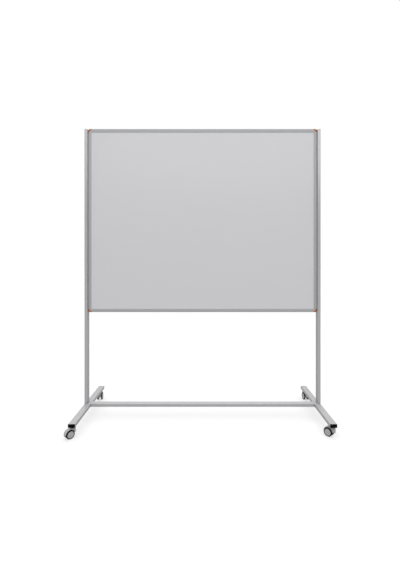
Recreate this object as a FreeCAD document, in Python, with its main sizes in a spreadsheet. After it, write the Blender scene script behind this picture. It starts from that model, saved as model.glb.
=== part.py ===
import FreeCAD, Part
import Sketcher
import math
import os

# Mobile whiteboard: a framed board held between two posts on a rolling stand.
# Millimetres. Z is up from the floor, X runs along the board, and the writing side faces -Y.
# The origin is on the floor, midway between the posts.

doc = FreeCAD.newDocument("MobileWhiteboard")
sheet = doc.addObject("Spreadsheet::Sheet", "Sizes")

size_rows = [
    # board
    ("board_width", 1500.0, "board, outside of its frame"),
    ("board_height", 1200.0, "board, outside of its frame"),
    ("board_base", 678.0, "lower edge of the board above the floor"),
    ("sheet_thickness", 0.5, "enamelled steel sheet, front and back"),
    ("core_thickness", 13.0, "core between the sheets"),
    ("groove_slack", 0.05, "panel face to the side of the rail's groove"),
    ("panel_edge_slack", 0.8, "panel edge to the bottom of the rail's groove"),
    # framing rails
    ("rail_face", 21.0, "width of the rail seen from the front"),
    ("rail_depth", 20.0, "front to back"),
    ("rail_round", 3.0, "rounding of the rail's outer edges"),
    ("rail_wall", 1.8, "wall of the rail's chamber"),
    ("rail_chamber", 7.2, "inside width of the rail's chamber"),
    ("rail_flat", 7.5, "outer edge to where the face starts to slope"),
    ("lip_tip", 2.2, "thickness of the lip's inner edge"),
    # corner caps
    ("corner_leg", 26.0, "board's corner to the cap's end along each edge"),
    ("corner_round", 15.0, "rounding of the board's corner"),
    ("corner_edge_round", 2.6, "rounding of the cap's outer edges"),
    ("corner_proud", 0.4, "cap stands out past the rail, front and back"),
    ("tongue_length", 35.0, "tongue inside the rail's chamber"),
    ("tongue_inset", 1.2, "tongue to the chamber's outer wall"),
    ("tongue_slack", 0.2, "tongue to the chamber's inner wall"),
    ("tongue_depth", 11.0, "tongue, front to back"),
    # stand tubes
    ("tube_wide", 40.0, "long side of the tube"),
    ("tube_thin", 20.0, "short side of the tube"),
    ("tube_wall", 1.5, "tube wall"),
    ("tube_corner", 2.0, "outer corner radius of the tube"),
    ("foot_length", 594.0, "foot tube without its plugs"),
    ("post_drop", 5.0, "top of the post below the top of the board"),
    # end plugs
    ("foot_flange", 3.0, "visible head of a foot plug"),
    ("foot_flange_round", 0.7, "rounding of that head"),
    ("cap_flange", 1.5, "visible head of a post cap"),
    ("cap_flange_round", 0.7, "rounding of that head"),
    ("plug_depth", 10.4, "plug inside the tube"),
    ("plug_slack", 0.15, "plug's fins to the tube"),
    ("plug_fin", 1.2, "thickness of a fin"),
    ("plug_fin_reach", 1.5, "fins stand out from the plug's sleeve"),
    ("plug_fin_first", 2.4, "tube end to the first fin"),
    ("plug_fin_pitch", 3.0, "fin to fin"),
    ("plug_sleeve", 1.8, "wall of the plug's hollow sleeve"),
    # fasteners
    ("screw_radius", 3.0, "board screw"),
    ("screw_head_radius", 5.25, "board screw head"),
    ("screw_head_height", 3.3, "board screw head"),
    ("screw_socket", 4.0, "board screw hexagon, across flats"),
    ("screw_end_inset", 150.0, "end of the board to the nearest board screw"),
    ("bolt_radius", 4.0, "stand bolt"),
    ("bolt_head_radius", 7.0, "stand bolt head"),
    ("bolt_head_height", 4.4, "stand bolt head"),
    ("bolt_socket", 5.0, "stand bolt hexagon, across flats"),
    ("bolt_spacing", 24.0, "between the two bolts of a post"),
    ("head_land", 0.6, "straight lower band of a bolt head"),
    ("head_crown_share", 0.42, "top of a bolt head as a part of its radius"),
    ("socket_share", 0.6, "depth of a hexagon as a part of the head"),
    ("tip_chamfer", 0.8, "chamfer at a bolt's tip"),
    ("hole_slack", 0.3, "bolt to a plain hole"),
    ("thread_slack", 0.05, "bolt to the thread that holds it"),
    ("nut_plate", 15.0, "thickness of a nut plate in a stand tube"),
    ("nut_plate_slack", 0.2, "nut plate to the tube"),
    ("rail_nut", 5.6, "thickness of a nut plate in a rail"),
    ("rail_nut_width", 11.0, "nut plate in a rail, front to back"),
    ("rail_nut_land", 5.6, "flat of that plate against the rail's outer wall"),
    ("rail_nut_bevel", 3.0, "bevel of that plate, measured inward"),
    ("rail_nut_length", 30.0, "nut plate in a rail, along the rail"),
    # castors
    ("castor_height", 62.0, "floor to the underside of the foot"),
    ("castor_inset", 18.7, "end of the foot tube to the castor's stem"),
    ("trail", 20.7, "swivel axis to axle"),
    ("wheel_radius", 25.0, "outside of the tyre"),
    ("wheel_width", 7.5, "one wheel along the axle"),
    ("tyre_seat", 19.3, "inside of the tyre"),
    ("tyre_round", 2.0, "rounding of the tyre's shoulders"),
    ("seat_slack", 0.05, "hub to tyre"),
    ("hub_rim", 16.4, "inner radius of the hub's rim"),
    ("hub_boss", 6.2, "radius of the hub's boss"),
    ("hub_set_in", 0.5, "rim below the tyre's side"),
    ("hub_dish", 1.0, "dish of the outer face below the rim"),
    ("hub_dish_slope", 1.0, "sloping part of the dish"),
    ("hub_cap", 0.6, "centre of the outer face above the dish"),
    ("hub_recess", 3.0, "recess of the inner face"),
    ("hub_bore", 5.2, "depth of the axle's bore"),
    ("axle_radius", 3.0, "axle"),
    ("axle_slack", 0.05, "axle to its bores"),
    ("axle_end_slack", 0.3, "axle's end to the bottom of its bore"),
    ("web_width", 19.6, "middle of the hood, between the wheels"),
    ("wheel_slack", 0.5, "wheel to the middle of the hood"),
    ("hood_width", 23.0, "hood, with its lips over the inner edges of both treads"),
    ("hood_radius", 29.0, "hood about the axle"),
    ("hood_round", 2.5, "rounding of the hood's sides"),
    ("hood_slack", 1.0, "tyre to the inside of the hood"),
    ("hood_wall", 2.2, "wall of the hood round its hollow"),
    ("hood_rib", 1.8, "rib along the middle of that hollow"),
    ("hollow_front", 16.0, "front of that hollow, behind the swivel axis"),
    ("axle_boss", 7.0, "radius of the hood's boss round the axle"),
    ("skirt_base", 23.7, "floor to the hood's trailing edge"),
    ("web_front", 4.0, "front of the web, behind the swivel axis"),
    ("web_foot", 10.0, "front of the web's lower edge, behind the swivel axis"),
    ("housing_base", 29.0, "floor to the underside of the swivel housing"),
    ("housing_nose", 18.0, "housing ahead of the swivel axis"),
    ("housing_back", 13.0, "housing behind the swivel axis"),
    ("housing_corner", 6.0, "rounding of the housing's rear corners"),
    ("housing_round", 3.6, "rounding of the housing's top"),
    ("stem_radius", 4.0, "swivel pin"),
    ("stem_length", 19.0, "swivel pin below its collar"),
    ("stem_slack", 0.05, "swivel pin to its socket"),
    ("socket_end", 0.5, "end of the pin to the bottom of its socket"),
    ("collar_height", 5.0, "hexagon collar"),
    ("collar_across", 14.0, "hexagon collar, across flats"),
    ("stem_thread", 5.0, "thread of the stem"),
    ("stem_thread_length", 13.0, "thread above the collar"),
    ("washer_thickness", 0.5, "thrust washer under the collar"),
    ("washer_radius", 8.0, "thrust washer"),
    ("swivel_play", 0.1, "washer to the hood"),
    ("ring_height", 1.2, "grip ring"),
    ("ring_lift", 3.0, "end of the pin to the grip ring"),
    ("ring_depth", 0.8, "groove of the grip ring in the pin"),
    ("ring_reach", 0.8, "grip ring stands out from the pin"),
    ("ring_slack", 0.2, "grip ring to its groove in the hood"),
    ("insert_flange", 1.0, "head of the threaded insert under the foot"),
    ("insert_flange_radius", 9.0, "that head"),
    ("insert_radius", 7.0, "threaded insert"),
    ("insert_depth", 14.0, "threaded insert inside the foot"),
    ("insert_slack", 0.1, "insert to its hole"),
    # directions of the four castors in plan, in degrees from +X to the trailing side
    ("front_left_turn", -131.6, "front left castor"),
    ("front_right_turn", 131.7, "front right castor"),
    ("rear_left_turn", -84.9, "rear left castor"),
    ("rear_right_turn", -82.3, "rear right castor"),
]

for row, (alias, number, note) in enumerate(size_rows, start=1):
    sheet.set(f"A{row}", note)
    sheet.set(f"B{row}", str(number))
    sheet.setAlias(f"B{row}", alias)
doc.recompute()


# A length that knows both its number and the formula on the sheet that gives it.
class Size:
    def __init__(self, number, text):
        self.number = float(number)
        self.text = text

    def joined(self, other, sign, number):
        return Size(number, f"({self.text} {sign} {other.text})")

    def __add__(self, other):
        other = sized(other)
        return self.joined(other, "+", self.number + other.number)

    def __sub__(self, other):
        other = sized(other)
        return self.joined(other, "-", self.number - other.number)

    def __mul__(self, other):
        other = sized(other)
        return self.joined(other, "*", self.number * other.number)

    def __truediv__(self, other):
        other = sized(other)
        return self.joined(other, "/", self.number / other.number)

    def __neg__(self):
        return Size(-self.number, f"(0 - {self.text})")

    __rmul__ = __mul__


def sized(number):
    return number if isinstance(number, Size) else Size(number, repr(number))


def root(square):
    return Size(math.sqrt(square.number), f"sqrt({square.text})")


class Sizes:
    pass


s = Sizes()
for alias, number, note in size_rows:
    setattr(s, alias, Size(sheet.get(alias), f"Sizes.{alias}"))

nil = sized(0)

# Measures that follow from the sheet.
board_top = s.board_base + s.board_height
board_middle = s.board_base + s.board_height / 2
panel_thickness = s.core_thickness + s.sheet_thickness * 2
groove_floor = s.rail_wall * 2 + s.rail_chamber
panel_inset = groove_floor + s.panel_edge_slack
half_span = s.board_width / 2
post_x = half_span + s.tube_thin / 2
foot_x = half_span + s.tube_thin - s.tube_wide / 2
foot_outer = half_span + s.tube_thin
foot_middle = s.castor_height + s.tube_thin / 2
foot_top = s.castor_height + s.tube_thin
castor_y = s.foot_length / 2 - s.castor_inset
post_length = board_top - s.post_drop - s.cap_flange - foot_top
bar_length = (foot_x - s.tube_wide / 2) * 2
collar_top = s.castor_height - s.insert_flange
collar_base = collar_top - s.collar_height
hood_top = collar_base - s.washer_thickness - s.swivel_play
stem_end = collar_base - s.stem_length
ring_low = stem_end + s.ring_lift
ring_high = ring_low + s.ring_height
wheel_inner = s.web_width / 2 + s.wheel_slack
wheel_outer = wheel_inner + s.wheel_width

sides = (("left", -1), ("right", 1))
ends = (("front", -1), ("rear", 1))
screw_rows = (
    s.screw_end_inset,
    s.board_height / 2,
    s.board_height - s.screw_end_inset,
)

x_axis = FreeCAD.Vector(1, 0, 0)
y_axis = FreeCAD.Vector(0, 1, 0)
z_axis = FreeCAD.Vector(0, 0, 1)

nodes = {}


def bind(thing, path, size):
    thing.setExpression(path, sized(size).text)


def place(thing, x, y, z, axis=z_axis, degrees=0):
    thing.Placement = FreeCAD.Placement(FreeCAD.Vector(), FreeCAD.Rotation(axis, degrees))
    for letter, size in zip("xyz", (x, y, z)):
        bind(thing, f"Placement.Base.{letter}", size)
    return thing


def body(label):
    made = doc.addObject("PartDesign::Body", label)
    made.Label = label
    return made


def sketch(owner, plane, x=nil, y=nil, z=nil):
    made = owner.newObject("Sketcher::SketchObject", f"{owner.Name}_sketch")
    planes = {feature.Role: feature for feature in owner.Origin.OriginFeatures}
    made.AttachmentSupport = [(planes[f"{plane}_Plane"], "")]
    made.MapMode = "FlatFace"
    for letter, size in zip("xyz", (x, y, z)):
        if size is not nil:
            bind(made, f"AttachmentOffset.Base.{letter}", size)
    return made


def hold(target, kind, size, *where):
    index = target.addConstraint(Sketcher.Constraint(kind, *where, size.number))
    bind(target, f"Constraints[{index}]", size)


def hold_point(target, edge, end, x, y):
    for kind, size, axis in (("DistanceX", x, -2), ("DistanceY", y, -1)):
        if size is nil:
            target.addConstraint(Sketcher.Constraint("PointOnObject", edge, end, axis))
        else:
            hold(target, kind, size, -1, 1, edge, end)


def arc_between(start, stop, radius):
    chord = stop - start
    left = FreeCAD.Vector(-chord.y, chord.x, 0).normalize()
    rise = math.sqrt(max(radius ** 2 - (chord.Length / 2) ** 2, 0))
    centre = start + chord * 0.5 + left * math.copysign(rise, radius)
    if radius < 0:
        start, stop = stop, start
    first, last = [math.atan2(p.y - centre.y, p.x - centre.x) for p in (start, stop)]
    circle = Part.Circle(centre, z_axis, abs(radius))
    return Part.ArcOfCircle(circle, first, last if last > first else last + math.tau)


# Closed outline. Each corner gives its two coordinates and, where an arc leaves it, the arc's radius:
# a positive arc bends to the left, a negative one to the right.
def outline(target, corners):
    points = [FreeCAD.Vector(c[0].number, c[1].number, 0) for c in corners]
    edges = []
    for index, corner in enumerate(corners):
        start, stop = points[index], points[(index + 1) % len(points)]
        if len(corner) == 2:
            edges.append((target.addGeometry(Part.LineSegment(start, stop)), 1, 2))
        else:
            arc = target.addGeometry(arc_between(start, stop, corner[2].number))
            edges.append((arc, 1, 2) if corner[2].number > 0 else (arc, 2, 1))
    for index, (edge, first, last) in enumerate(edges):
        after = edges[(index + 1) % len(edges)]
        target.addConstraint(Sketcher.Constraint("Coincident", edge, last, after[0], after[1]))
    for (edge, first, last), corner in zip(edges, corners):
        hold_point(target, edge, first, corner[0], corner[1])
        if len(corner) == 3:
            hold(target, "Radius", corner[2] if corner[2].number > 0 else -corner[2], edge)


def rectangle(target, low_x, low_y, high_x, high_y):
    outline(target, [(low_x, low_y), (high_x, low_y), (high_x, high_y), (low_x, high_y)])


def rounded(target, width, height, radius):
    far_x, far_y = width / 2, height / 2
    near_x, near_y = far_x - radius, far_y - radius
    outline(target, [
        (-near_x, -far_y), (near_x, -far_y, radius),
        (far_x, -near_y), (far_x, near_y, radius),
        (near_x, far_y), (-near_x, far_y, radius),
        (-far_x, near_y), (-far_x, -near_y, radius),
    ])


def hexagon(target, across):
    tip = across / math.sqrt(3)
    outline(target, [
        (tip, nil), (tip / 2, across / 2), (-tip / 2, across / 2),
        (-tip, nil), (-tip / 2, -across / 2), (tip / 2, -across / 2),
    ])


def ring(target, x, y, radius):
    circle = Part.Circle(FreeCAD.Vector(x.number, y.number, 0), z_axis, radius.number)
    edge = target.addGeometry(circle)
    hold_point(target, edge, 3, x, y)
    hold(target, "Radius", radius, edge)


def grown(owner, kind, profile, length, both=False, reverse=False):
    made = owner.newObject(f"PartDesign::{kind}", f"{owner.Name}_{kind}")
    made.Profile = profile
    made.SideType = "Symmetric" if both else "One side"
    made.Reversed = reverse
    bind(made, "Length", length)
    return made


def pad(owner, profile, length, both=False, reverse=False):
    return grown(owner, "Pad", profile, length, both, reverse)


def pocket(owner, profile, length, both=False, reverse=False):
    return grown(owner, "Pocket", profile, length, both, reverse)


def turned(owner, profile, axis, kind="Revolution"):
    made = owner.newObject(f"PartDesign::{kind}", f"{owner.Name}_{kind}")
    made.Profile = profile
    made.ReferenceAxis = (profile, [axis])
    made.Angle = 360
    return made


# Rounds the edges of a feature whose middle points pass a test.
def rounded_edges(owner, feature, radius, wanted):
    doc.recompute()
    names = []
    for index, edge in enumerate(feature.Shape.Edges, start=1):
        middle = edge.valueAt((edge.FirstParameter + edge.LastParameter) / 2)
        if wanted(edge, middle):
            names.append(f"Edge{index}")
    made = owner.newObject("PartDesign::Fillet", f"{owner.Name}_Fillet")
    made.Base = (feature, names)
    bind(made, "Radius", radius)
    return made


def same(one, other):
    return abs(one - other) < s.groove_slack.number


def group(label, members):
    made = doc.addObject("Part::Compound", label)
    made.Label = label
    made.Links = members
    nodes[label] = made


# A straight tube: its section lies in one of the origin planes.
def tube(label, plane, width, height, length, both):
    made = body(label)
    profile = sketch(made, plane)
    rounded(profile, width, height, s.tube_corner)
    wall = s.tube_wall * 2
    rounded(profile, width - wall, height - wall, s.tube_corner - s.tube_wall)
    pad(made, profile, length, both)
    nodes[label] = made
    return made


for side, sign in sides:
    post = tube(f"post_{side}", "XY", s.tube_thin, s.tube_wide, post_length, False)
    holes = sketch(post, "YZ")
    for height in screw_rows:
        ring(holes, nil, s.board_base + height - foot_top, s.screw_radius + s.hole_slack)
    pocket(post, holes, s.tube_thin * 2, both=True)
    place(post, post_x * sign, nil, foot_top)

    foot = tube(f"foot_{side}", "XZ", s.tube_wide, s.tube_thin, s.foot_length, True)
    bolt_holes = sketch(foot, "XY")
    for end, way in ends:
        ring(bolt_holes, (post_x - foot_x) * sign, s.bolt_spacing / 2 * way, s.bolt_radius + s.hole_slack)
    pocket(foot, bolt_holes, s.tube_thin * 2, both=True)
    bar_hole = sketch(foot, "YZ")
    ring(bar_hole, nil, nil, s.bolt_radius + s.hole_slack)
    pocket(foot, bar_hole, s.tube_wide * 2, both=True)
    insert_holes = sketch(foot, "XY", z=-s.tube_thin / 2)
    for end, way in ends:
        ring(insert_holes, nil, castor_y * way, s.insert_radius + s.insert_slack)
    pocket(foot, insert_holes, s.tube_wall * 4, both=True)
    place(foot, foot_x * sign, nil, foot_middle)

crossbar = tube("crossbar", "YZ", s.tube_wide, s.tube_thin, bar_length, True)
place(crossbar, nil, nil, foot_middle)


# A plastic plug for a tube's end: a head outside, and inside it a finned hollow sleeve.
def plug(label, flange, flange_round):
    made = body(label)
    head_profile = sketch(made, "XY")
    rounded(head_profile, s.tube_wide, s.tube_thin, s.tube_corner)
    head = pad(made, head_profile, flange)
    rounded_edges(made, head, flange_round, lambda edge, at: same(at.z, flange.number))

    room_wide = s.tube_wide - s.tube_wall * 2
    room_thin = s.tube_thin - s.tube_wall * 2
    reach = s.plug_fin_reach * 2
    sleeve_profile = sketch(made, "XY")
    rounded(sleeve_profile, room_wide - reach, room_thin - reach, s.tube_corner)
    pad(made, sleeve_profile, s.plug_depth, reverse=True)
    fin_profile = sketch(made, "XY", z=-s.plug_fin_first)
    slack = s.plug_slack * 2
    rounded(fin_profile, room_wide - slack, room_thin - slack, s.tube_corner - s.tube_wall)
    fin = pad(made, fin_profile, s.plug_fin, reverse=True)
    fins = made.newObject("PartDesign::LinearPattern", f"{made.Name}_fins")
    fins.Originals = [fin]
    fins.Direction = (fin_profile, ["N_Axis"])
    fins.Reversed = True
    fins.Occurrences = 3
    bind(fins, "Length", s.plug_fin_pitch * 2)
    made.Tip = fins
    bore_profile = sketch(made, "XY")
    thick = (s.plug_fin_reach + s.plug_sleeve) * 2
    rectangle(
        bore_profile,
        -(room_wide - thick) / 2, -(room_thin - thick) / 2,
        (room_wide - thick) / 2, (room_thin - thick) / 2,
    )
    pocket(made, bore_profile, s.plug_depth)
    return made


for side, sign in sides:
    for end, way in ends:
        label = f"foot_plug_{end}_{side}"
        nodes[label] = plug(label, s.foot_flange, s.foot_flange_round)
        place(nodes[label], foot_x * sign, s.foot_length / 2 * way, foot_middle, x_axis, -90 * way)
    label = f"post_cap_{side}"
    nodes[label] = plug(label, s.cap_flange, s.cap_flange_round)
    place(nodes[label], post_x * sign, nil, foot_top + post_length, z_axis, 90)


# A button-head bolt: its head stands on the plane z = 0 and its shank points down.
def bolt(label, radius, length, head_radius, head_height, socket):
    made = body(label)
    profile = sketch(made, "XZ")
    outline(profile, [
        (nil, -length), (radius - s.tip_chamfer, -length), (radius, s.tip_chamfer - length),
        (radius, nil), (head_radius, nil), (head_radius, s.head_land),
        (head_radius * s.head_crown_share, head_height), (nil, head_height),
    ])
    turned(made, profile, "V_Axis")
    flats = sketch(made, "XY", z=head_height)
    hexagon(flats, socket)
    pocket(made, flats, head_height * s.socket_share)
    return made


def stand_bolt(label, length):
    return bolt(label, s.bolt_radius, length, s.bolt_head_radius, s.bolt_head_height, s.bolt_socket)


# A steel block inside a tube's end, bored for the bolts that hold the tube. Each bore gives its
# place beside the middle of the block and the direction that it runs in.
def nut_block(label, length_x, length_y, length_z, bores):
    block = doc.addObject("Part::Box", f"{label}_block")
    for name, size in (("Length", length_x), ("Width", length_y), ("Height", length_z)):
        bind(block, name, size)
    place(block, -length_x / 2, -length_y / 2, -length_z / 2)
    for index, (x, y, z, axis, degrees) in enumerate(bores):
        bore = doc.addObject("Part::Cylinder", f"{label}_bore{index}")
        bind(bore, "Radius", s.bolt_radius + s.thread_slack)
        bind(bore, "Height", s.nut_plate * 2)
        place(bore, x, y, z, axis, degrees)
        cut = doc.addObject("Part::Cut", f"{label}_bored{index}")
        cut.Base, cut.Tool = block, bore
        block = cut
    return block


plate_wide = s.tube_wide - (s.tube_wall + s.nut_plate_slack) * 2
plate_thin = s.tube_thin - (s.tube_wall + s.nut_plate_slack) * 2
post_plates, post_bolts, bar_plates, bar_bolts = [], [], [], []
for side, sign in sides:
    bores = [(nil, s.bolt_spacing / 2 * way, -s.nut_plate, z_axis, 0) for end, way in ends]
    plate = nut_block(f"post_plate_{side}", plate_thin, plate_wide, s.nut_plate, bores)
    post_plates.append(place(plate, post_x * sign, nil, foot_top + s.nut_plate / 2))
    for end, way in ends:
        fixing = stand_bolt(f"post_bolt_{end}_{side}", s.tube_thin + s.nut_plate)
        place(fixing, post_x * sign, s.bolt_spacing / 2 * way, s.castor_height, x_axis, 180)
        post_bolts.append(fixing)

    bores = [(-s.nut_plate, nil, nil, y_axis, 90)]
    plate = nut_block(f"bar_plate_{side}", s.nut_plate, plate_wide, plate_thin, bores)
    bar_plates.append(place(plate, (bar_length / 2 - s.nut_plate / 2) * sign, nil, foot_middle))
    fixing = stand_bolt(f"bar_bolt_{side}", s.tube_wide + s.nut_plate)
    bar_bolts.append(place(fixing, foot_outer * sign, nil, foot_middle, y_axis, 90 * sign))
group("post_nut_plates", post_plates)
group("post_bolts", post_bolts)
group("crossbar_nut_plates", bar_plates)
group("crossbar_bolts", bar_bolts)


# Board panel: two enamelled sheets on a core, held in the rails' grooves.
def layer(label, thickness, front):
    made = doc.addObject("Part::Box", label)
    made.Label = label
    bind(made, "Length", s.board_width - panel_inset * 2)
    bind(made, "Width", thickness)
    bind(made, "Height", s.board_height - panel_inset * 2)
    place(made, panel_inset - half_span, front, s.board_base + panel_inset)
    nodes[label] = made


layer("front_sheet", s.sheet_thickness, -panel_thickness / 2)
layer("core_panel", s.core_thickness, -s.core_thickness / 2)
layer("back_sheet", s.sheet_thickness, s.core_thickness / 2)


# A framing rail along its own Z, with its outer edge on x = 0 and the panel's groove towards +X.
# Its lips meet the next rail's in a mitre, and its outer tips are cut off at 45 degrees for the caps.
def rail(label, length, screws):
    made = body(label)
    half = s.rail_depth / 2
    groove = panel_thickness / 2 + s.groove_slack
    tip = groove + s.lip_tip
    profile = sketch(made, "XY")
    outline(profile, [
        (s.rail_round, -half), (s.rail_flat, -half), (s.rail_face, -tip), (s.rail_face, -groove),
        (groove_floor, -groove), (groove_floor, groove), (s.rail_face, groove), (s.rail_face, tip),
        (s.rail_flat, half), (s.rail_round, half, s.rail_round),
        (nil, half - s.rail_round), (nil, s.rail_round - half, s.rail_round),
    ])
    inner = half - s.rail_wall
    bend = s.rail_round - s.rail_wall
    chamber_end = s.rail_wall + s.rail_chamber
    outline(profile, [
        (s.rail_round, -inner), (chamber_end, -inner), (chamber_end, inner), (s.rail_round, inner, bend),
        (s.rail_wall, inner - bend), (s.rail_wall, bend - inner, bend),
    ])
    pad(made, profile, length, both=True)
    far = s.rail_face * 2
    for way in (-1, 1):
        mitre = sketch(made, "XZ")
        outline(mitre, [
            (-s.corner_leg, (length / 2 - s.corner_leg * 2) * way),
            (s.corner_leg / 2, (length / 2 - s.corner_leg / 2) * way),
            (far, (length / 2 - far) * way), (far, length * way), (-s.corner_leg, length * way),
        ])
        pocket(made, mitre, s.rail_depth * 2, both=True)
    if screws:
        holes = sketch(made, "YZ")
        for height in screw_rows:
            ring(holes, nil, height - s.board_height / 2, s.screw_radius + s.hole_slack)
        pocket(made, holes, s.rail_wall * 2, both=True)
    nodes[label] = made
    return made


place(rail("rail_left", s.board_height, True), -half_span, nil, board_middle)
place(rail("rail_right", s.board_height, True), half_span, nil, board_middle, z_axis, 180)
place(rail("rail_top", s.board_width, False), nil, nil, board_top, y_axis, 90)
place(rail("rail_bottom", s.board_width, False), nil, nil, s.board_base, y_axis, -90)


# A corner cap with its outer corner at the origin, its edges along +X and +Z, and a tongue in each rail.
def corner(label):
    made = body(label)
    profile = sketch(made, "XZ")
    outline(profile, [
        (s.corner_round, nil), (s.corner_leg, nil),
        (nil, s.corner_leg), (nil, s.corner_round, s.corner_round),
    ])
    deep = s.rail_depth + s.corner_proud * 2
    block = pad(made, profile, deep, both=True)
    near = s.corner_round.number

    def outer_edge(edge, at):
        return same(abs(at.y), deep.number / 2) and min(at.x, at.z) < near / 2

    rounded_edges(made, block, s.corner_edge_round, outer_edge)
    groove = sketch(made, "XZ")
    rectangle(groove, groove_floor, groove_floor, s.corner_leg * 2, s.corner_leg * 2)
    pocket(made, groove, panel_thickness + s.groove_slack * 2, both=True)
    low = s.rail_wall + s.tongue_inset
    high = s.rail_wall + s.rail_chamber - s.tongue_slack
    flank = s.tongue_depth / 2
    reach = s.corner_leg - s.corner_round + s.tongue_length
    along_x = sketch(made, "YZ", z=s.corner_round)
    rectangle(along_x, -flank, low, flank, high)
    pad(made, along_x, reach)
    along_z = sketch(made, "XY", z=s.corner_round)
    rectangle(along_z, low, -flank, high, flank)
    pad(made, along_z, reach)
    nodes[label] = made
    return made


place(corner("corner_bottom_left"), -half_span, nil, s.board_base)
place(corner("corner_top_left"), -half_span, nil, board_top, y_axis, 90)
place(corner("corner_top_right"), half_span, nil, board_top, y_axis, 180)
place(corner("corner_bottom_right"), half_span, nil, s.board_base, y_axis, -90)


# A nut plate inside a side rail, bevelled to clear the chamber's rounded corners.
def rail_nut(label):
    made = body(label)
    profile = sketch(made, "XY")
    near, far = s.rail_wall, s.rail_wall + s.rail_nut
    bevel = near + s.rail_nut_bevel
    land, wide = s.rail_nut_land / 2, s.rail_nut_width / 2
    outline(profile, [
        (near, -land), (bevel, -wide), (far, -wide), (far, wide), (bevel, wide), (near, land),
    ])
    pad(made, profile, s.rail_nut_length, both=True)
    bore = sketch(made, "YZ")
    ring(bore, nil, nil, s.screw_radius + s.thread_slack)
    pocket(made, bore, s.rail_face * 2, both=True)
    return made


rail_nuts, board_screws = [], []
for side, sign in sides:
    for index, height in enumerate(screw_rows):
        nut = rail_nut(f"rail_nut_{side}_{index}")
        place(nut, half_span * sign, nil, s.board_base + height, z_axis, 90 + 90 * sign)
        rail_nuts.append(nut)
        screw = bolt(
            f"board_screw_{side}_{index}",
            s.screw_radius, s.tube_thin + s.rail_wall + s.rail_nut,
            s.screw_head_radius, s.screw_head_height, s.screw_socket,
        )
        place(screw, foot_outer * sign, nil, s.board_base + height, y_axis, 90 * sign)
        board_screws.append(screw)
group("board_nut_plates", rail_nuts)
group("board_screws", board_screws)


# Castor pieces share one frame: its origin is on the floor under the swivel axis, and the wheels
# trail towards +X.
def seat(thing, name, sign, way):
    place(thing, foot_x * sign, castor_y * way, nil, z_axis, 1)
    bind(thing, "Placement.Rotation.Angle", getattr(s, f"{name}_turn"))
    return thing


def stem(label):
    made = body(label)
    profile = sketch(made, "XZ")
    waist = s.stem_radius - s.ring_depth
    top = collar_top + s.stem_thread_length
    step = collar_base + s.collar_height / 2
    outline(profile, [
        (nil, stem_end), (s.stem_radius - s.tip_chamfer, stem_end), (s.stem_radius, stem_end + s.tip_chamfer),
        (s.stem_radius, ring_low), (waist, ring_low), (waist, ring_high), (s.stem_radius, ring_high),
        (s.stem_radius, step), (s.stem_thread, step), (s.stem_thread, top - s.tip_chamfer),
        (s.stem_thread - s.tip_chamfer, top), (nil, top),
    ])
    turned(made, profile, "V_Axis")
    collar = sketch(made, "XY", z=collar_base)
    hexagon(collar, s.collar_across)
    pad(made, collar, s.collar_height)
    return made


# A body of revolution about the swivel axis with a straight hole through it.
def turned_ring(label, hole, corners):
    made = body(label)
    profile = sketch(made, "XZ")
    outline(profile, [(hole, corners[0][1])] + corners + [(hole, corners[-1][1])])
    turned(made, profile, "V_Axis")
    return made


def insert(label):
    top = s.castor_height + s.insert_depth
    return turned_ring(label, s.stem_thread + s.thread_slack, [
        (s.insert_flange_radius, collar_top), (s.insert_flange_radius, s.castor_height),
        (s.insert_radius, s.castor_height), (s.insert_radius, top),
    ])


def washer(label):
    low = collar_base - s.washer_thickness
    hole = s.stem_radius + s.hole_slack
    return turned_ring(label, hole, [(s.washer_radius, low), (s.washer_radius, collar_base)])


def grip_ring(label):
    out = s.stem_radius + s.ring_reach
    hole = s.stem_radius - s.ring_depth + s.thread_slack
    slack = s.thread_slack
    return turned_ring(label, hole, [(out, ring_low + slack), (out, ring_high - slack)])


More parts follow.
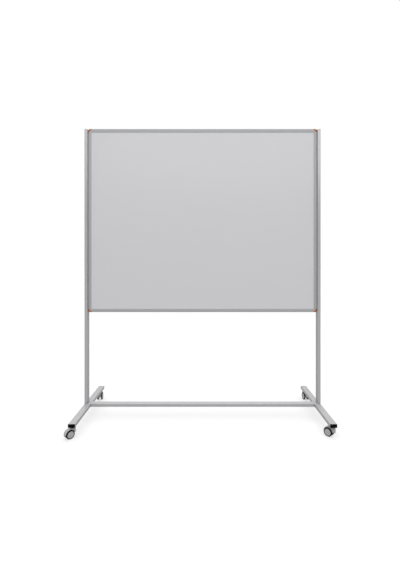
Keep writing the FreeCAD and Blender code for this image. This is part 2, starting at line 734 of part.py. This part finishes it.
# Hood: a web between the wheels with lips over their treads, and a swivel housing over the stem.
# Behind the housing it is hollow from below, with a rib down the middle and a boss for the axle.
def hood(label):
    made = body(label)
    guard = sketch(made, "XZ")
    drop = s.skirt_base - s.wheel_radius
    skirt_x = s.trail + root(s.hood_radius * s.hood_radius - drop * drop)
    lead = s.trail - s.web_front
    lead_z = s.wheel_radius + root(s.hood_radius * s.hood_radius - lead * lead)
    outline(guard, [
        (skirt_x, s.skirt_base, s.hood_radius), (s.web_front, lead_z),
        (s.web_front, s.housing_base), (s.web_foot, s.skirt_base),
    ])
    shell = pad(made, guard, s.hood_width, both=True)

    def guard_edge(edge, at):
        return same(abs(at.y), s.hood_width.number / 2) and edge.Curve.TypeId == "Part::GeomCircle"

    rounded_edges(made, shell, s.hood_round, guard_edge)

    plan = sketch(made, "XY", z=s.housing_base)
    half = s.hood_width / 2
    bend = s.housing_corner
    outline(plan, [
        (-s.housing_nose, nil, half), (half - s.housing_nose, -half),
        (s.housing_back - bend, -half, bend), (s.housing_back, bend - half),
        (s.housing_back, half - bend, bend), (s.housing_back - bend, half),
        (half - s.housing_nose, half, half),
    ])
    housing = pad(made, plan, hood_top - s.housing_base)
    rounded_edges(made, housing, s.housing_round, lambda edge, at: same(at.z, hood_top.number))

    within = s.hood_radius - s.hood_wall
    depth = root(within * within - drop * drop)
    reach = s.trail - s.hollow_front
    hollow_top = s.wheel_radius + root(within * within - reach * reach)
    for cut, width in ((pocket, s.web_width - s.hood_wall * 2), (pad, s.hood_rib)):
        hollow = sketch(made, "XZ")
        outline(hollow, [
            (s.trail + depth, s.skirt_base, within), (s.hollow_front, hollow_top),
            (s.hollow_front, s.skirt_base),
        ])
        cut(made, hollow, width, both=True)
    boss = sketch(made, "XZ")
    ring(boss, s.trail, s.wheel_radius, s.axle_boss)
    pad(made, boss, s.web_width, both=True)

    wheel_room = sketch(made, "YZ", y=s.wheel_radius, z=s.trail)
    room = s.wheel_radius + s.hood_slack
    for sign in (-1, 1):
        rectangle(wheel_room, s.web_width / 2 * sign, nil, s.hood_width * sign, room)
    turned(made, wheel_room, "H_Axis", "Groove")

    socket = sketch(made, "XZ")
    bore = s.stem_radius + s.stem_slack
    wide = s.stem_radius + s.ring_reach + s.ring_slack
    outline(socket, [
        (nil, stem_end - s.socket_end), (bore, stem_end - s.socket_end), (bore, ring_low - s.ring_slack),
        (wide, ring_low - s.ring_slack), (wide, ring_high + s.ring_slack), (bore, ring_high + s.ring_slack),
        (bore, collar_base), (nil, collar_base),
    ])
    turned(made, socket, "V_Axis", "Groove")
    axle_hole = sketch(made, "XZ")
    ring(axle_hole, s.trail, s.wheel_radius, s.axle_radius + s.axle_slack)
    pocket(made, axle_hole, s.hood_width * 2, both=True)
    return made


def axle(label):
    made = body(label)
    profile = sketch(made, "XZ")
    ring(profile, s.trail, s.wheel_radius, s.axle_radius)
    pad(made, profile, (wheel_inner + s.hub_bore - s.axle_end_slack) * 2, both=True)
    return made


# A wheel piece turned about the axle: corners give the distance along the axle and the radius.
def wheel_piece(label, hand, corners):
    made = body(label)
    profile = sketch(made, "YZ", y=s.wheel_radius, z=s.trail)
    flipped = []
    for along, radius, *bend in corners:
        flipped.append((along * hand, radius, *[size * hand for size in bend]))
    outline(profile, flipped)
    turned(made, profile, "H_Axis")
    return made


def tyre(label, hand):
    shoulder = s.wheel_radius - s.tyre_round
    return wheel_piece(label, hand, [
        (wheel_inner, s.tyre_seat), (wheel_outer, s.tyre_seat), (wheel_outer, shoulder, s.tyre_round),
        (wheel_outer - s.tyre_round, s.wheel_radius), (wheel_inner + s.tyre_round, s.wheel_radius, s.tyre_round),
        (wheel_inner, shoulder),
    ])


def hub(label, hand):
    rim = s.tyre_seat - s.seat_slack
    bore = s.axle_radius + s.axle_slack
    face = wheel_outer - s.hub_set_in
    dish = face - s.hub_dish
    floor = wheel_inner + s.hub_bore
    return wheel_piece(label, hand, [
        (wheel_inner, bore), (wheel_inner, s.hub_boss), (wheel_inner + s.hub_recess, s.hub_boss),
        (wheel_inner + s.hub_recess, s.hub_rim), (wheel_inner + s.hub_set_in, s.hub_rim),
        (wheel_inner + s.hub_set_in, rim), (face, rim), (face, s.hub_rim), (dish, s.hub_rim - s.hub_dish_slope),
        (dish, s.hub_boss + s.hub_dish_slope), (dish + s.hub_cap, s.hub_boss), (dish + s.hub_cap, nil),
        (floor, nil), (floor, bore),
    ])


stems, inserts, washers, rings = [], [], [], []
for side, sign in sides:
    for end, way in ends:
        name = f"{end}_{side}"
        inserts.append(seat(insert(f"castor_insert_{name}"), name, sign, way))
        stems.append(seat(stem(f"castor_stem_{name}"), name, sign, way))
        washers.append(seat(washer(f"castor_washer_{name}"), name, sign, way))
        rings.append(seat(grip_ring(f"castor_ring_{name}"), name, sign, way))
        nodes[f"hood_{name}"] = seat(hood(f"hood_{name}"), name, sign, way)
        nodes[f"axle_{name}"] = seat(axle(f"axle_{name}"), name, sign, way)
        for letter, hand in (("a", 1), ("b", -1)):
            for kind, make in (("hub", hub), ("tyre", tyre)):
                label = f"{kind}_{name}_{letter}"
                nodes[label] = seat(make(label, hand), name, sign, way)
group("castor_inserts", inserts)
group("castor_stems", stems)
group("castor_washers", washers)
group("castor_grip_rings", rings)

doc.recompute()

for thing in doc.Objects:
    if "Invalid" in thing.State or "Error" in thing.State:
        raise RuntimeError(f"{thing.Label} did not build")
for label, thing in nodes.items():
    if thing.Shape.isNull() or not thing.Shape.isValid() or not thing.Shape.Solids:
        raise RuntimeError(f"{label} has no sound shape")

os.makedirs("parts", exist_ok=True)
for label, thing in nodes.items():
    thing.Shape.exportStep(f"parts/{label}.step")
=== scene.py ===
import bpy
import bmesh
import math
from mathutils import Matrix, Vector

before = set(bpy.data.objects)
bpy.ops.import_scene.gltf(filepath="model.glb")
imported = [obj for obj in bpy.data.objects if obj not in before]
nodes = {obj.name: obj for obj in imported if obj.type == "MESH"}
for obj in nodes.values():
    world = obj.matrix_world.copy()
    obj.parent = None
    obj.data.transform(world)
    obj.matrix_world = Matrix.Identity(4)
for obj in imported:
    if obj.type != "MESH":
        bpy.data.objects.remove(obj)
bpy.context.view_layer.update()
scene = bpy.context.scene
scene.view_settings.view_transform = "Standard"
white = (1, 1, 1, 1)
print("frame loaded,", len(nodes), "nodes")

# camera: level, in front of the board, with the picture shifted a little to the left and down
cameraSet = {
    "place": (0.0, -2.288, 1.0315),
    "tilt": 90,
    "sensor": 36,
    "lens": 21.98,
    "shift": (-0.00446, -0.0470),
    "reach": 60,
}
camData = bpy.data.cameras.new("boardCamera")
camData.sensor_width = cameraSet["sensor"]
camData.lens = cameraSet["lens"]
camData.shift_x, camData.shift_y = cameraSet["shift"]
camData.clip_end = cameraSet["reach"]
camera = bpy.data.objects.new("boardCamera", camData)
camera.location = cameraSet["place"]
camera.rotation_euler = (math.radians(cameraSet["tilt"]), 0, 0)
scene.collection.objects.link(camera)
scene.camera = camera
print("camera set")

# the stretch of a noise over which a tone goes from one end to the other, and the same for roughness
noiseSet = {"tone": (0.3, 0.7), "rough": (0.25, 0.75), "detail": 3.0, "fade": 0.5}


def startMaterial(name):
    mat = bpy.data.materials.new(name)
    mat.use_nodes = True
    tree = mat.node_tree
    shader = tree.nodes["Principled BSDF"]
    coords = tree.nodes.new("ShaderNodeTexCoord")
    return mat, tree, shader, coords.outputs["Object"]


def stretched(tree, coords, scale):
    node = tree.nodes.new("ShaderNodeMapping")
    node.inputs["Scale"].default_value = scale
    tree.links.new(coords, node.inputs["Vector"])
    return node.outputs["Vector"]


def noise(tree, coords, scale, detail=noiseSet["detail"], fade=noiseSet["fade"]):
    node = tree.nodes.new("ShaderNodeTexNoise")
    node.inputs["Scale"].default_value = scale
    node.inputs["Detail"].default_value = detail
    node.inputs["Roughness"].default_value = fade
    tree.links.new(coords, node.inputs["Vector"])
    return node.outputs["Fac"]


def tone(tree, shader, fac, dark, pale):
    node = tree.nodes.new("ShaderNodeValToRGB")
    for stop, place, colour in zip(node.color_ramp.elements, noiseSet["tone"], (dark, pale)):
        stop.position = place
        stop.color = (*colour, 1)
    tree.links.new(fac, node.inputs["Fac"])
    tree.links.new(node.outputs["Color"], shader.inputs["Base Color"])


def roughness(tree, shader, fac, span):
    node = tree.nodes.new("ShaderNodeMapRange")
    ends = ("From Min", "From Max", "To Min", "To Max")
    for end, value in zip(ends, (*noiseSet["rough"], *span)):
        node.inputs[end].default_value = value
    tree.links.new(fac, node.inputs["Value"])
    tree.links.new(node.outputs["Result"], shader.inputs["Roughness"])


def bump(tree, shader, height, strength, depth):
    node = tree.nodes.new("ShaderNodeBump")
    node.inputs["Strength"].default_value = strength
    node.inputs["Distance"].default_value = depth
    tree.links.new(height, node.inputs["Height"])
    tree.links.new(node.outputs["Normal"], shader.inputs["Normal"])


def named(*starts):
    return [name for name in nodes if name.startswith(starts)]


def dress(names, mat):
    for name in names:
        data = nodes[name].data
        data.materials.clear()
        data.materials.append(mat)


# satin powder coat of the posts, feet and cross bar
coatSet = {
    "dark": (0.415, 0.415, 0.423), "pale": (0.425, 0.425, 0.433), "mottle": 9,
    "rough": (0.24, 0.27), "sheen": 35,
    "metal": 0.36, "shine": 0.1, "edge": (0.3, 0.3, 0.3, 1),
    "grain": 700, "detail": 2, "bump": (0.04, 0.0002),
}
coat, tree, shader, coords = startMaterial("satinCoat")
tone(tree, shader, noise(tree, coords, coatSet["mottle"]), coatSet["dark"], coatSet["pale"])
roughness(tree, shader, noise(tree, coords, coatSet["sheen"]), coatSet["rough"])
shader.inputs["Metallic"].default_value = coatSet["metal"]
shader.inputs["Specular IOR Level"].default_value = coatSet["shine"]
shader.inputs["Specular Tint"].default_value = coatSet["edge"]
bump(tree, shader, noise(tree, coords, coatSet["grain"], coatSet["detail"]), *coatSet["bump"])
dress(["post_left", "post_right", "foot_left", "foot_right", "crossbar"], coat)

# enamel of the two writing sheets: even and glossy, with the faint drag of a wiped surface
enamelSet = {
    "dark": (0.650, 0.650, 0.665), "pale": (0.657, 0.657, 0.672), "rough": (0.28, 0.31), "shine": 0.28,
    "drag": (1.2, 1, 7), "wipe": 3, "wipeDetail": 5, "wipeFade": 0.6,
    "grain": 260, "detail": 2, "bump": (0.02, 0.0002),
}
enamel, tree, shader, coords = startMaterial("wipedEnamel")
dragged = stretched(tree, coords, enamelSet["drag"])
wipes = noise(tree, dragged, enamelSet["wipe"], enamelSet["wipeDetail"], enamelSet["wipeFade"])
tone(tree, shader, wipes, enamelSet["dark"], enamelSet["pale"])
roughness(tree, shader, wipes, enamelSet["rough"])
shader.inputs["Specular IOR Level"].default_value = enamelSet["shine"]
bump(tree, shader, noise(tree, coords, enamelSet["grain"], enamelSet["detail"]), *enamelSet["bump"])
dress(["front_sheet", "back_sheet"], enamel)

# anodised rails, with the fine drawn lines of an extrusion along each one
railSet = {
    "dark": (0.352, 0.352, 0.361), "pale": (0.382, 0.382, 0.390), "rough": (0.52, 0.62), "metal": 0.4,
    "across": (4, 900, 900), "up": (900, 900, 4), "lines": 1, "detail": 4, "fade": 0.6,
    "bump": (0.08, 0.0002),
}


def drawnMetal(name, grain):
    mat, tree, shader, coords = startMaterial(name)
    lines = noise(tree, stretched(tree, coords, grain), railSet["lines"], railSet["detail"], railSet["fade"])
    tone(tree, shader, lines, railSet["dark"], railSet["pale"])
    roughness(tree, shader, lines, railSet["rough"])
    shader.inputs["Metallic"].default_value = railSet["metal"]
    bump(tree, shader, lines, *railSet["bump"])
    return mat


dress(["rail_top", "rail_bottom"], drawnMetal("drawnRailAcross", railSet["across"]))
dress(["rail_left", "rail_right"], drawnMetal("drawnRailUp", railSet["up"]))

# moulded plastics and rubber: a fine grain and a little mottling
mouldSet = {"mottle": 60, "sheen": 220, "detail": 2, "strength": 0.25}


def moulded(name, finish):
    mat, tree, shader, coords = startMaterial(name)
    tone(tree, shader, noise(tree, coords, mouldSet["mottle"]), finish["dark"], finish["pale"])
    roughness(tree, shader, noise(tree, coords, mouldSet["sheen"]), finish["rough"])
    grain = noise(tree, coords, finish["grain"], mouldSet["detail"])
    bump(tree, shader, grain, mouldSet["strength"], finish["depth"])
    shader.inputs["Specular IOR Level"].default_value = finish["shine"]
    return mat


cornerSet = {
    "dark": (0.37, 0.112, 0.002), "pale": (0.44, 0.138, 0.003), "rough": (0.42, 0.55), "shine": 0.1,
    "grain": 2600, "depth": 0.0002,
}
dress(named("corner_"), moulded("cornerMould", cornerSet))

plugSet = {
    "dark": (0.0015, 0.0015, 0.0015), "pale": (0.003, 0.003, 0.0034), "rough": (0.5, 0.62), "shine": 0.04,
    "grain": 2200, "depth": 0.0002,
}
dress(named("foot_plug", "post_cap"), moulded("plugMould", plugSet))

hoodSet = {
    "dark": (0.32, 0.32, 0.325), "pale": (0.38, 0.38, 0.385), "rough": (0.4, 0.52), "shine": 0.5,
    "grain": 2600, "depth": 0.0002,
}
dress(named("hood_", "castor_washers"), moulded("hoodMould", hoodSet))

hubSet = {
    "dark": (0.40, 0.40, 0.405), "pale": (0.46, 0.46, 0.465), "rough": (0.42, 0.54), "shine": 0.5,
    "grain": 2600, "depth": 0.0002,
}
dress(named("hub_"), moulded("hubMould", hubSet))

tyreSet = {
    "dark": (0.002, 0.002, 0.002), "pale": (0.004, 0.004, 0.004), "rough": (0.62, 0.78), "shine": 0.04,
    "grain": 1500, "depth": 0.0003,
}
dress(named("tyre_"), moulded("tyreRubber", tyreSet))

# bright zinc on the fasteners, stems and axles
zincSet = {
    "dark": (0.46, 0.46, 0.45), "pale": (0.58, 0.58, 0.58), "rough": (0.25, 0.42), "metal": 1,
    "patch": 420, "detail": 4,
}
zinc, tree, shader, coords = startMaterial("brightZinc")
patches = noise(tree, coords, zincSet["patch"], zincSet["detail"])
tone(tree, shader, patches, zincSet["dark"], zincSet["pale"])
roughness(tree, shader, patches, zincSet["rough"])
shader.inputs["Metallic"].default_value = zincSet["metal"]
dress(named("axle_"), zinc)
dress(["post_nut_plates", "post_bolts", "crossbar_nut_plates", "crossbar_bolts", "board_nut_plates",
       "board_screws", "castor_inserts", "castor_stems", "castor_grip_rings"], zinc)

# pressed chips of the core
coreSet = {
    "dark": (0.20, 0.12, 0.06), "pale": (0.46, 0.32, 0.18), "rough": 0.85,
    "press": (1, 3, 1), "chip": 380, "detail": 5,
}
core, tree, shader, coords = startMaterial("pressedChips")
chips = noise(tree, stretched(tree, coords, coreSet["press"]), coreSet["chip"], coreSet["detail"])
tone(tree, shader, chips, coreSet["dark"], coreSet["pale"])
shader.inputs["Roughness"].default_value = coreSet["rough"]
dress(["core_panel"], core)
print("finishes on")

# floor: a plain grey that glows to near white where it is seen, and is still shaded under the stand
floorSet = {"size": 60.0, "cells": 2, "grey": 0.30, "vary": 0.02, "clouds": 0.6, "rough": 0.9, "glow": 0.55}
bm = bmesh.new()
cells = floorSet["cells"]
bmesh.ops.create_grid(bm, x_segments=cells, y_segments=cells, size=floorSet["size"] / 2)
floorMesh = bpy.data.meshes.new("studioFloor")
bm.to_mesh(floorMesh)
bm.free()
floor = bpy.data.objects.new("studioFloor", floorMesh)
scene.collection.objects.link(floor)


# 1 where the background is seen, straight or in a shiny or clear surface, and 0 where it gives light
def seenDirectly(tree):
    path = tree.nodes.new("ShaderNodeLightPath")
    seen = path.outputs["Is Camera Ray"]
    for ray in ("Is Glossy Ray", "Is Transmission Ray"):
        either = tree.nodes.new("ShaderNodeMath")
        either.operation = "MAXIMUM"
        tree.links.new(seen, either.inputs[0])
        tree.links.new(path.outputs[ray], either.inputs[1])
        seen = either.outputs[0]
    return seen


floorMat, tree, shader, coords = startMaterial("paleFloor")
darkFloor = (floorSet["grey"],) * 3
paleFloor = (floorSet["grey"] + floorSet["vary"],) * 3
tone(tree, shader, noise(tree, coords, floorSet["clouds"]), darkFloor, paleFloor)
shader.inputs["Roughness"].default_value = floorSet["rough"]
shader.inputs["Emission Color"].default_value = white
glow = tree.nodes.new("ShaderNodeMath")
glow.operation = "MULTIPLY"
glow.inputs[1].default_value = floorSet["glow"]
tree.links.new(seenDirectly(tree), glow.inputs[0])
tree.links.new(glow.outputs[0], shader.inputs["Emission Strength"])
floorMesh.materials.append(floorMat)

# studio: a room, brighter overhead and white where it is seen, and soft lights high in front and behind
roomSet = {"level": 0.10, "overhead": 2.50, "rise": 0.25, "seen": 1.0}
world = bpy.data.worlds.new("studioRoom")
scene.world = world
world.use_nodes = True
tree = world.node_tree
backdrop = tree.nodes["Background"]
backdrop.inputs["Color"].default_value = white
coords = tree.nodes.new("ShaderNodeTexCoord")
direction = tree.nodes.new("ShaderNodeSeparateXYZ")
tree.links.new(coords.outputs["Generated"], direction.inputs["Vector"])
rise = tree.nodes.new("ShaderNodeMapRange")
rise.inputs["From Min"].default_value = roomSet["rise"]
rise.inputs["To Min"].default_value = roomSet["level"]
rise.inputs["To Max"].default_value = roomSet["overhead"]
tree.links.new(direction.outputs["Z"], rise.inputs["Value"])
level = tree.nodes.new("ShaderNodeMix")
level.inputs["B"].default_value = roomSet["seen"]
tree.links.new(seenDirectly(tree), level.inputs["Factor"])
tree.links.new(rise.outputs["Result"], level.inputs["A"])
tree.links.new(level.outputs["Result"], backdrop.inputs["Strength"])

lampSet = {
    "highFront": {"watts": 57.0, "size": (4.4, 2.0), "place": (0.15, -3.8, 3.3), "aim": (0.0, 0.0, 1.5)},
    "highRear": {"watts": 45.0, "size": (5.0, 1.4), "place": (-0.3, 3.8, 3.5), "aim": (0.0, 0.0, 1.5)},
}


def softLamp(name, watts, size, place, aim):
    data = bpy.data.lights.new(name, "AREA")
    data.shape = "RECTANGLE"
    data.size, data.size_y = size
    data.energy = watts
    lamp = bpy.data.objects.new(name, data)
    lamp.location = place
    lamp.rotation_euler = (Vector(aim) - Vector(place)).to_track_quat("-Z", "Y").to_euler()
    scene.collection.objects.link(lamp)


for lampName, lamp in lampSet.items():
    softLamp(lampName, lamp["watts"], lamp["size"], lamp["place"], lamp["aim"])
print("studio lit")
